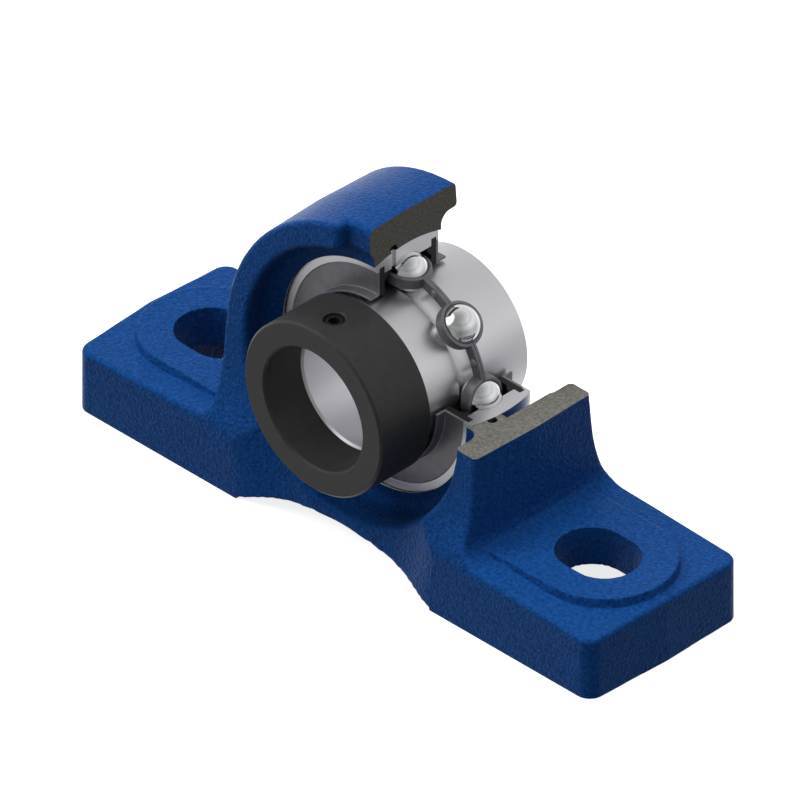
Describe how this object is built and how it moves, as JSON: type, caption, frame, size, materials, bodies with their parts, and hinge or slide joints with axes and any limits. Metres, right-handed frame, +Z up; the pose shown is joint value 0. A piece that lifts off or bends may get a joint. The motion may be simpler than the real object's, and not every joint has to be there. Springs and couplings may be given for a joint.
{
  "type": "pillow block bearing",
  "caption": "Cutaway pillow block bearing: cast housing on a slotted base, spherical-seated insert ball bearing with seals, and an eccentric locking collar with a set screw.",
  "frame": {"origin": "on the mounting plane, under the middle of the shaft, halfway between the slots", "axes": "+X along the base towards the cut side, +Y along the shaft away from the locking collar, +Z up"},
  "size_m": [0.165, 0.0543, 0.0832],
  "materials": {
    "housing_paint": "blue enamel over a sand-cast skin; bare grey-brown iron on the cut faces",
    "ring_steel": "ground bearing steel",
    "ball_steel": "polished bearing steel",
    "cage_steel": "pressed sheet, dull",
    "rivet_steel": "formed heads, dull",
    "seal_plate_steel": "pressed sheet, satin",
    "seal_rubber": "moulded nitrile rubber, matt",
    "collar_black_oxide": "black oxide on turned steel, satin",
    "screw_black_oxide": "black oxide, satin"
  },
  "bodies": {
    "housing": {"housing": "housing_paint"},
    "insert": {"outer_ring": "ring_steel", "front_seal_plate": "seal_plate_steel", "front_seal_lip": "seal_rubber", "back_seal_plate": "seal_plate_steel", "back_seal_lip": "seal_rubber"},
    "sleeve": {"inner_ring": "ring_steel", "collar": "collar_black_oxide", "set_screw": "screw_black_oxide"},
    "cage": {"cage_front": "cage_steel", "cage_back": "cage_steel", "cage_rivets": "rivet_steel"},
    "ball_1_body": {"ball_1": "ball_steel"},
    "ball_2_body": {"ball_2": "ball_steel"},
    "ball_3_body": {"ball_3": "ball_steel"},
    "ball_4_body": {"ball_4": "ball_steel"},
    "ball_5_body": {"ball_5": "ball_steel"},
    "ball_6_body": {"ball_6": "ball_steel"},
    "ball_7_body": {"ball_7": "ball_steel"},
    "ball_8_body": {"ball_8": "ball_steel"}
  },
  "joints": [
    {"name": "insert_tilt", "type": "hinge", "parent": "housing", "child": "insert", "pos_m": [0, 0, 0.0429], "axis": [1, 0, 0], "range_deg": [-2, 2]},
    {"name": "sleeve_spin", "type": "hinge", "parent": "insert", "child": "sleeve", "pos_m": [0, 0, 0.0429], "axis": [0, 1, 0], "continuous": true},
    {"name": "cage_spin", "type": "hinge", "parent": "insert", "child": "cage", "pos_m": [0, 0, 0.0429], "axis": [0, 1, 0], "continuous": true},
    {"name": "ball_1_roll", "type": "hinge", "parent": "cage", "child": "ball_1_body", "pos_m": [0.0232, 0, 0.0429], "axis": [0, 1, 0], "continuous": true},
    {"name": "ball_2_roll", "type": "hinge", "parent": "cage", "child": "ball_2_body", "pos_m": [0.0164, 0, 0.0593], "axis": [0, 1, 0], "continuous": true},
    {"name": "ball_3_roll", "type": "hinge", "parent": "cage", "child": "ball_3_body", "pos_m": [0, 0, 0.0661], "axis": [0, 1, 0], "continuous": true},
    {"name": "ball_4_roll", "type": "hinge", "parent": "cage", "child": "ball_4_body", "pos_m": [-0.0164, 0, 0.0593], "axis": [0, 1, 0], "continuous": true},
    {"name": "ball_5_roll", "type": "hinge", "parent": "cage", "child": "ball_5_body", "pos_m": [-0.0232, 0, 0.0429], "axis": [0, 1, 0], "continuous": true},
    {"name": "ball_6_roll", "type": "hinge", "parent": "cage", "child": "ball_6_body", "pos_m": [-0.0164, 0, 0.0265], "axis": [0, 1, 0], "continuous": true},
    {"name": "ball_7_roll", "type": "hinge", "parent": "cage", "child": "ball_7_body", "pos_m": [0, 0, 0.0197], "axis": [0, 1, 0], "continuous": true},
    {"name": "ball_8_roll", "type": "hinge", "parent": "cage", "child": "ball_8_body", "pos_m": [0.0164, 0, 0.0265], "axis": [0, 1, 0], "continuous": true}
  ],
  "couplings": [
    {"joint": "cage_spin", "follows": "sleeve_spin", "ratio": 0.39741},
    {"joint": "ball_1_roll", "follows": "sleeve_spin", "ratio": -2.3344},
    {"joint": "ball_2_roll", "follows": "sleeve_spin", "ratio": -2.3344},
    {"joint": "ball_3_roll", "follows": "sleeve_spin", "ratio": -2.3344},
    {"joint": "ball_4_roll", "follows": "sleeve_spin", "ratio": -2.3344},
    {"joint": "ball_5_roll", "follows": "sleeve_spin", "ratio": -2.3344},
    {"joint": "ball_6_roll", "follows": "sleeve_spin", "ratio": -2.3344},
    {"joint": "ball_7_roll", "follows": "sleeve_spin", "ratio": -2.3344},
    {"joint": "ball_8_roll", "follows": "sleeve_spin", "ratio": -2.3344}
  ]
}
